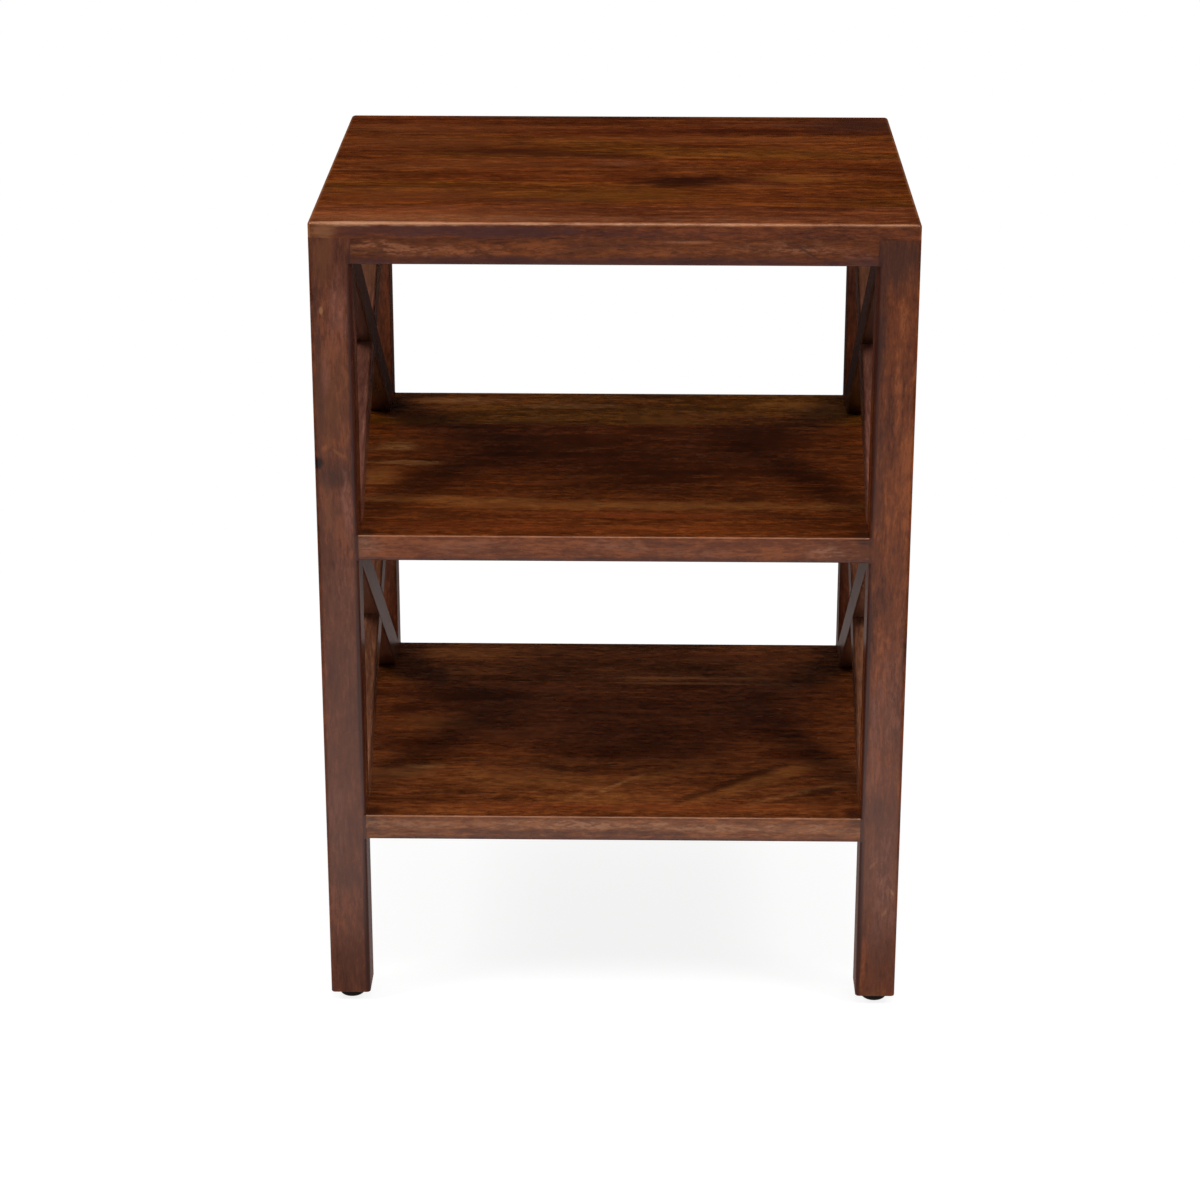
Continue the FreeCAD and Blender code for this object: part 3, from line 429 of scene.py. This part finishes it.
# The front right leg is a little lighter than the others and more flecked.
leg_tones, light_leg_tones = stain(97, 48, 27), stain(112, 54, 23)
legs = {
    "front_left_leg": (leg_tones, left_marks, 0.12),
    "front_right_leg": (light_leg_tones, right_marks, 0.25),
    "back_left_leg": (leg_tones, (), 0.15),
    "back_right_leg": (leg_tones, (), 0.15),
}
for number, (name, (tones, marks, flecks)) in enumerate(legs.items()):
    dress(name, wood(name + "_wood", ALONG_Z, (0.31 * number, 0.17 * number, 0.05), tones, fibres=1.3,
                     clouds=1.3, flecks=flecks, marks=marks, face=(0, 1, 0)))

# Rails: four strips of the same wood under the top, flush with the legs and doweled between them. The front
# one is painted darker along its lower edge, as shade on its rounding, and has a broken light streak along
# its upper half.
PURPLE = tint(70, 36, 36)
DASH = tint(168, 104, 70)
rail_marks = on_front(
    (-160, 594.5, 30, 4.5, DASH, 0.65, 1.0, 0.6, 0), (-118, 593, 28, 3.4, DASH, 0.55, 1.0, 0.7, 0),
    (-75, 594, 40, 3, EMBER, 0.7, 1.1, 0.6, 0), (54, 600, 20, 0.9, DASH, 0.7, 0.7, 0.6, 0),
    (50, 592, 40, 3, EMBER, 0.6, 1.1, 0.6, 0), (128, 595, 32, 4, DASH, 0.55, 1.0, 0.7, 0),
    (138, 592, 9, 1, DUSK, 0.7, 0.6, 0.5, 32), (172, 592, 14, 5, ROSE, 0.4, 1.1, 0.6, 0),
    # The dark strip along the lower edge is painted shade.
    (0, 585, 240, 3.6, PURPLE, 0.8, 0.6, 0.7, 0), (0, 597, 34, 3, PURPLE, 0.3, 0.9, 0.7, 0))
rails = {"front_rail": ALONG_X, "back_rail": ALONG_X, "left_rail": ALONG_Y, "right_rail": ALONG_Y}
for number, (name, run) in enumerate(rails.items()):
    marks = rail_marks if name == "front_rail" else ()
    dress(name, wood(name + "_wood", run, (0.27 * number, 0.13 * number, 0.4), stain(97, 46, 17, 0.85),
                     flecks=0.3, marks=marks, face=(0, 1, 0), gloss=0.36))

# Top: five boards of the same hardwood glued edge to edge, 11.5 mm thick, with a rounded upper edge where
# the stain is rubbed to a light line that is also a painted highlight. It lies on the rails and is screwed
# up through them.


def on_face(height, *rows):
    """Marks on a level face. A row is x, y, half length, half width in mm, then the look, as in wood."""
    return [((x * MM, y * MM, height), (long * MM, wide * MM, MARK_DEPTH), *look)
            for x, y, long, wide, *look in rows]


FAR_BELOW = 0.1


def dress_panel(boards, face, step, height, front, **look):
    """Finish a glued panel, whose boards each start at another place in the grain.

    Only the upper edges of the panel are rubbed lighter, as worn stain and a painted highlight, so the
    rubbed box reaches far below its face. The first board carries the front edge, whose cut has tones of
    its own.
    """
    box = (cad_low[0], cad_low[1], face - FAR_BELOW), (cad_high[0], cad_high[1], face)
    for number, (name, (tones, tinge, marks)) in enumerate(boards.items()):
        shift = (step[0] * number, step[1] * number, height)
        dress(name, wood(name + "_wood", ALONG_X, shift, tones, tinge=tinge, marks=marks, box=box,
                         front=front if number == 0 else None, **look))


TOP_FACE = cad_high[2]
RED_DARK = tint(64, 24, 12)
HONEY = tint(124, 72, 22)
AMBER = tint(124, 66, 30)
PINK = tint(120, 74, 52)
PLUM = tint(62, 30, 22)
KNOT = tint(46, 17, 7)
WORN_AND_HIGHLIT = tint(200, 146, 110)
# On the front edge of the top the stain is thin at the left corner and dark from there to the middle.
edge_marks = on_front(
    (-110, 608, 80, 5, PURPLE, 0.8, 0.6, 0.6, 0), (20, 606, 90, 3, PURPLE, 0.4, 0.9, 0.7, 0),
    (-206, 607, 8, 5, TAN, 0.55, 0.6, 0.7, 0), (140, 608, 60, 4, EMBER, 0.35, 1.0, 0.8, 0))
# The light lines along the rounded front edge are worn stain and a painted highlight.
edge_marks += [((-150 * MM, FRONT_FACE, TOP_FACE), (90 * MM, 2.2 * MM, 2.2 * MM), WORN_AND_HIGHLIT, 0.7, 0.7, 0.5, 0),
               ((30 * MM, FRONT_FACE, TOP_FACE), (150 * MM, 1.6 * MM, 1.6 * MM), WORN_AND_HIGHLIT, 0.5, 0.9, 0.5, 0)]
# A knot and the shade beside it lie across the joint of the second and the third board.
knot = (50, -49, 34, 16, KNOT, 0.95, 0.62, 0.5, 4)
knot_shade = (92, -50, 34, 11, RED_DARK, 0.85, 0.75, 0.7, 0)
# The broad lighter patches near the left end of the top boards and the darker ones near the right end of
# the front two are painted light and shade.
top_boards = {
    "top_front_board": (stain(99, 47, 20), PLAIN, on_face(
        TOP_FACE,
        (-130, -158, 90, 26, EMBER, 0.35, 0.6, 0.9, 0), (-110, -165, 100, 9, TAN, 0.35, 0.9, 0.8, 0),
        (20, -168, 90, 7, PINK, 0.4, 0.9, 0.8, 0), (130, -160, 60, 6, PINK, 0.3, 0.9, 0.8, 0),
        (160, -148, 70, 16, RED_DARK, 0.25, 0.7, 0.9, 0), (40, -135, 150, 4, RED_DARK, 0.35, 0.8, 0.7, 0),
        (-60, -140, 60, 4, PLUM, 0.4, 0.8, 0.7, 0)) + edge_marks),
    "top_second_board": (stain(95, 42, 10), OLIVE, on_face(
        TOP_FACE, knot_shade, knot,
        (-57, -113, 50, 8, PLUM, 0.55, 0.6, 0.7, 0), (5, -95, 45, 18, HONEY, 0.4, 0.7, 0.8, 0),
        (102, -65, 26, 6, AMBER, 0.45, 0.5, 0.7, 0), (136, -58, 30, 2, RED_DARK, 0.5, 0.5, 0.6, 0),
        (-184, -70, 34, 3, RED_DARK, 0.6, 0.6, 0.7, 0), (160, -98, 60, 16, RED_DARK, 0.35, 0.7, 0.8, 0),
        (-150, -92, 70, 20, AMBER, 0.45, 0.7, 0.8, 0))),
    "top_third_board": (stain(96, 44, 12), REDDISH, on_face(
        TOP_FACE, knot_shade, knot,
        (132, -40, 24, 9, HONEY, 0.55, 0.6, 0.8, 0), (-189, -20, 28, 3.5, RED_DARK, 0.65, 0.6, 0.7, 0),
        (0, 10, 20, 9, PINK, 0.45, 0.9, 0.8, 0), (-100, 5, 80, 16, AMBER, 0.4, 0.7, 0.8, 0),
        (190, -10, 26, 2, RED_DARK, 0.5, 0.4, 0.6, 0))),
    "top_fourth_board": (stain(96, 43, 12), OLIVE, on_face(
        TOP_FACE,
        (-80, 44, 55, 11, RED_DARK, 0.75, 0.5, 0.8, -7), (-20, 34, 34, 7, RED_DARK, 0.5, 0.6, 0.8, -8),
        (76, 92, 98, 8, AMBER, 0.5, 0.7, 0.7, 0), (128, 45, 36, 26, HONEY, 0.25, 0.7, 0.8, 0),
        (-150, 48, 50, 3, RED_DARK, 0.5, 0.6, 0.6, 0), (-150, 80, 70, 16, AMBER, 0.45, 0.7, 0.8, 0))),
    "top_back_board": (stain(90, 41, 12), REDDISH, on_face(
        TOP_FACE, (95, 124, 90, 9, RED_DARK, 0.65, 0.7, 0.7, 0), (148, 145, 70, 5, PINK, 0.35, 0.7, 0.7, 0),
        (190, 146, 38, 28, PLUM, 0.8, 0.4, 0.8, 0), (-60, 148, 70, 8, RED_DARK, 0.35, 0.7, 0.7, 0),
        (-140, 130, 70, 18, AMBER, 0.45, 0.7, 0.8, 0), (20, 168, 120, 5, INK, 0.35, 0.5, 0.8, 0))),
}
dress_panel(top_boards, TOP_FACE, step=(0.37, 0.21), height=0.7, front=stain(96, 44, 18), streaks=1.2,
            fibres=1.7, mottles=1.6, worn=tint(176, 118, 80), width=0.003, gloss=0.36)

# Middle shelf: four boards glued edge to edge, 19.5 mm thick, notched round the legs and doweled to them.
# Its front edge is a lighter, flecked cut of the wood.
MIDDLE_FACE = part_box("middle_shelf_front_board")[1][2]
STRAW = tint(170, 114, 64)
GOLD = tint(156, 94, 42)
RUST = tint(128, 56, 22)
SHADE = tint(56, 26, 12)
BUFF = tint(158, 104, 78)
# The dark spots at the front corners of both shelves, by the legs, are painted shade.
painted_corner_shade = (-181, -171, 6, 9, SHADE, 0.8, 0.4, 0.7, 0), (181, -171, 6, 9, SHADE, 0.8, 0.4, 0.7, 0)
middle_boards = {
    "middle_shelf_front_board": (stain(94, 43, 13), PLAIN, on_face(
        MIDDLE_FACE, *painted_corner_shade,
        (38, -108, 130, 8, GOLD, 0.75, 0.8, 0.8, 0), (22, -131, 80, 5, RUST, 0.8, 0.8, 0.7, 0),
        (152, -136, 28, 2.5, SHADE, 0.7, 0.5, 0.6, 0), (100, -92, 12, 5, SHADE, 0.6, 0.6, 0.7, 20),
        (-110, -150, 60, 10, RUST, 0.4, 0.8, 0.8, 0), (-130, -96, 50, 7, GOLD, 0.8, 0.85, 0.8, 0),
        (-20, -160, 120, 6, RUST, 0.4, 0.8, 0.8, 0)) + on_front(
            (-178, 371, 9, 6, BUFF, 0.7, 0.9, 0.7, 0), (-150, 368, 14, 4, RUST, 0.3, 0.9, 0.8, 0),
            (-105, 372, 26, 4, BUFF, 0.4, 1.05, 0.8, 0), (0, 373, 22, 4, BUFF, 0.45, 1.05, 0.8, 0),
            (60, 367, 30, 4, BUFF, 0.3, 1.05, 0.8, 0), (156, 370, 12, 5, BUFF, 0.75, 0.95, 0.7, 0),
            # The dark line along the lower edge of the front is painted shade.
            (0, 362, 230, 1.6, PURPLE, 0.6, 0.6, 0.7, 0))),
    # The dark patches on the second and third boards are painted shadow.
    "middle_shelf_second_board": (stain(96, 43, 12), PLAIN, on_face(
        MIDDLE_FACE,
        (-180, -45, 14, 22, GOLD, 0.75, 0.8, 0.8, 0), (-160, -9, 26, 5, STRAW, 0.7, 0.8, 0.7, 0),
        (60, -30, 90, 6, SHADE, 0.35, 0.8, 0.8, 0), (-40, 0, 70, 6, RUST, 0.3, 0.8, 0.8, 0))),
    "middle_shelf_third_board": (stain(98, 44, 12), PLAIN, on_face(
        MIDDLE_FACE, (-172, 30, 18, 9, STRAW, 0.8, 0.9, 0.8, 0), (120, 60, 60, 8, SHADE, 0.4, 0.7, 0.8, 0),
        (-100, 55, 50, 8, SHADE, 0.4, 0.7, 0.8, 0))),
    "middle_shelf_back_board": (stain(104, 52, 15), OLIVE, on_face(
        MIDDLE_FACE,
        (-136, 155, 36, 7, STRAW, 0.6, 0.85, 0.7, 0), (-40, 142, 32, 6, STRAW, 0.5, 0.85, 0.7, 0),
        # The dark mark at the back left corner, by the leg, is painted shade.
        (-187, 139, 12, 17, INK, 0.9, 0.3, 0.8, 0),
        (152, 144, 32, 9, GOLD, 0.45, 0.8, 0.7, 0))),
}
dress_panel(middle_boards, MIDDLE_FACE, step=(0.41, 0.23), height=0.9, front=stain(112, 56, 27, 0.8),
            mottles=1.7, worn=tint(176, 118, 84), width=0.0016)

# Bottom shelf: made and fixed as the middle one. Its front board was cut near a fork of the tree, so the
# figure runs slantwise, with light lines, a dark band and a knot.
BOTTOM_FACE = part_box("bottom_shelf_front_board")[1][2]
SAND = tint(170, 114, 78)
bottom_boards = {
    "bottom_shelf_front_board": (stain(101, 50, 20), PLAIN, on_face(
        BOTTOM_FACE, *painted_corner_shade,
        (-14, -143, 34, 10, GOLD, 0.6, 0.9, 0.8, 0), (-62, -112, 52, 14, GOLD, 0.5, 0.9, 0.8, 0),
        (112, -110, 56, 8, GOLD, 0.65, 0.85, 0.7, 38), (40, -95, 34, 9, GOLD, 0.4, 0.9, 0.8, 30),
        (4, -117, 26, 2.5, STRAW, 0.5, 0.9, 0.7, 46), (-20, -128, 18, 3, STRAW, 0.35, 0.9, 0.7, 50),
        (140, -132, 40, 3, STRAW, 0.4, 0.9, 0.7, 30), (75, -127, 40, 4, SHADE, 0.75, 0.7, 0.7, 40),
        (116, -90, 26, 4, SHADE, 0.6, 0.6, 0.7, 35), (159, -127, 13, 6, INK, 0.75, 0.65, 0.7, 0),
        (-165, -98, 18, 8, STRAW, 0.6, 0.9, 0.8, 0), (-148, -86, 14, 4, STRAW, 0.7, 0.8, 0.7, 0),
        (-105, -101, 8, 12, GOLD, 0.6, 1.0, 0.8, 30), (-142, -136, 12, 4, SHADE, 0.8, 0.8, 0.7, 10),
        (-112, -134, 12, 4, SHADE, 0.8, 0.8, 0.7, -10), (-84, -144, 9, 3, SHADE, 0.7, 0.8, 0.7, 20),
        (-42, -88, 9, 4, SHADE, 0.8, 0.8, 0.7, -30), (-26, -92, 6, 3, SHADE, 0.7, 0.8, 0.7, 30),
        (0, -160, 150, 6, RUST, 0.5, 0.9, 0.8, 0)) + on_front(
            (-40, 150, 60, 3.4, SAND, 0.8, 0.95, 0.6, 0), (70, 148, 60, 3, SAND, 0.8, 0.95, 0.6, 0),
            (-150, 149, 40, 3, SAND, 0.6, 0.95, 0.6, 0), (150, 147, 36, 3.4, SAND, 0.8, 0.9, 0.6, 0),
            (-20, 143, 90, 1.4, DUSK, 0.4, 0.9, 0.7, 0), (-110, 152, 8, 2, DUSK, 0.5, 0.9, 0.7, 0),
            # The dark line along the lower edge of the front is painted shade.
            (0, 138.6, 230, 1.6, PURPLE, 0.6, 0.6, 0.7, 0))),
    # The dark patches on the second and third boards are painted shadow.
    "bottom_shelf_second_board": (stain(103, 49, 18), PLAIN, on_face(
        BOTTOM_FACE,
        (-143, 2, 28, 12, GOLD, 0.4, 0.8, 0.8, 0), (-186, -40, 30, 22, SHADE, 0.25, 0.4, 0.4, 0),
        (40, -40, 90, 7, SHADE, 0.35, 0.8, 0.8, 0))),
    "bottom_shelf_third_board": (stain(95, 45, 17), PLAIN, on_face(
        BOTTOM_FACE,
        (60, 88, 70, 2.5, STRAW, 0.3, 0.6, 0.7, 0), (-110, 60, 50, 12, SHADE, 0.45, 0.7, 0.8, 0))),
    "bottom_shelf_back_board": (stain(92, 46, 18), PLAIN, on_face(
        BOTTOM_FACE, (66, 100, 64, 2, STRAW, 0.4, 0.6, 0.7, 0), (-130, 150, 40, 8, GOLD, 0.35, 0.8, 0.8, 0),
        (60, 150, 80, 8, RUST, 0.35, 0.8, 0.8, 0))),
}
dress_panel(bottom_boards, BOTTOM_FACE, step=(0.41, 0.29), height=1.3, front=stain(122, 65, 30, 0.8),
            mottles=1.7, worn=tint(184, 130, 96), width=0.0016)

# Braces: eight bars 25 by 19 mm, two crossed from corner to corner in each opening of a side. They are
# halved into each other and doweled to the legs, flush with the legs' inner faces.
# All bars are one wood; the rising bars are painted lighter and the falling ones darker, as lit and shaded
# copies.
lit_and_shaded_bar_tones = {"upper_rising": stain(120, 73, 59, 0.7), "upper_falling": stain(74, 42, 29, 0.7),
             "lower_rising": stain(122, 76, 53, 0.7), "lower_falling": stain(97, 57, 41, 0.7)}
# The upper rising bars are painted lighter and yellower towards the back, as a painted patch of light.
painted_lit_end = [((0, 0.1, 0.52), (1, 0.09, 0.09), tint(112, 76, 42), 0.6, 0.4, 0.8, 0)]
# The grain follows the diagonal of the upper opening, between shelf, rail and legs. The lower opening is
# nearly the same.
opening_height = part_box("left_rail")[0][2] - MIDDLE_FACE
opening_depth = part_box("back_left_leg")[0][1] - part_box("front_left_leg")[1][1]
lean = math.degrees(math.atan2(opening_height, opening_depth))
bars = [(side, tier, way) for side in ("left", "right") for tier in ("upper", "lower")
        for way in ("rising", "falling")]
for number, (side, tier, way) in enumerate(bars):
    name = f"{side}_{tier}_{way}_brace"
    run = (-lean if way == "rising" else lean, 0, -90)
    dress(name, wood(name + "_wood", run, (0.19 * number, 0.11 * number, 0.3), lit_and_shaded_bar_tones[f"{tier}_{way}"],
                     marks=painted_lit_end if (tier, way) == ("upper", "rising") else ()))

# Glides and hidden hardware: black moulded discs nailed under the legs, screws of yellowish plated steel up
# through the rails, bright nails, and bare beech dowels inside every joint.
SPECK_LIGHT, SPECK_SHINE = 1.4, 0.08


def plain_finish(name, colour, metallic, rough):
    """One even material with a fine speckle in its tone and its shine."""
    made = bpy.data.materials.new(name)
    made.use_nodes = True
    tree = made.node_tree
    tree.nodes.clear()
    place = put(tree, "TexCoord").outputs["Object"]
    speck = put(tree, "TexNoise", {"Vector": place, "Scale": 700.0, "Detail": 3.0}).outputs[0]
    light = [part * SPECK_LIGHT for part in colour[:3]] + [1]
    shine = ramp(tree, speck, 0.2, 0.8, rough - SPECK_SHINE, rough + SPECK_SHINE)
    skin = put(tree, "BsdfPrincipled", {"Base Color": blend(tree, speck, colour, light), "Roughness": shine,
                                        "Metallic": metallic})
    put(tree, "OutputMaterial", {0: skin.outputs[0]})
    return made


glide_plastic = plain_finish("glide_plastic", (0.006, 0.006, 0.006, 1), 0, 0.6)
for name in ("front_left_glide", "front_right_glide", "back_left_glide", "back_right_glide"):
    dress(name, glide_plastic)
dress("glide_nails", plain_finish("nail_steel", (0.5, 0.5, 0.5, 1), 1, 0.35))
dress("top_screws", plain_finish("screw_steel", (0.55, 0.53, 0.47, 1), 1, 0.35))
beech = plain_finish("dowel_beech", (0.6, 0.42, 0.24, 1), 0, 0.6)
for name in ("long_rail_dowels", "side_rail_dowels", "middle_shelf_dowels", "bottom_shelf_dowels",
             "left_brace_dowels", "right_brace_dowels"):
    dress(name, beech)
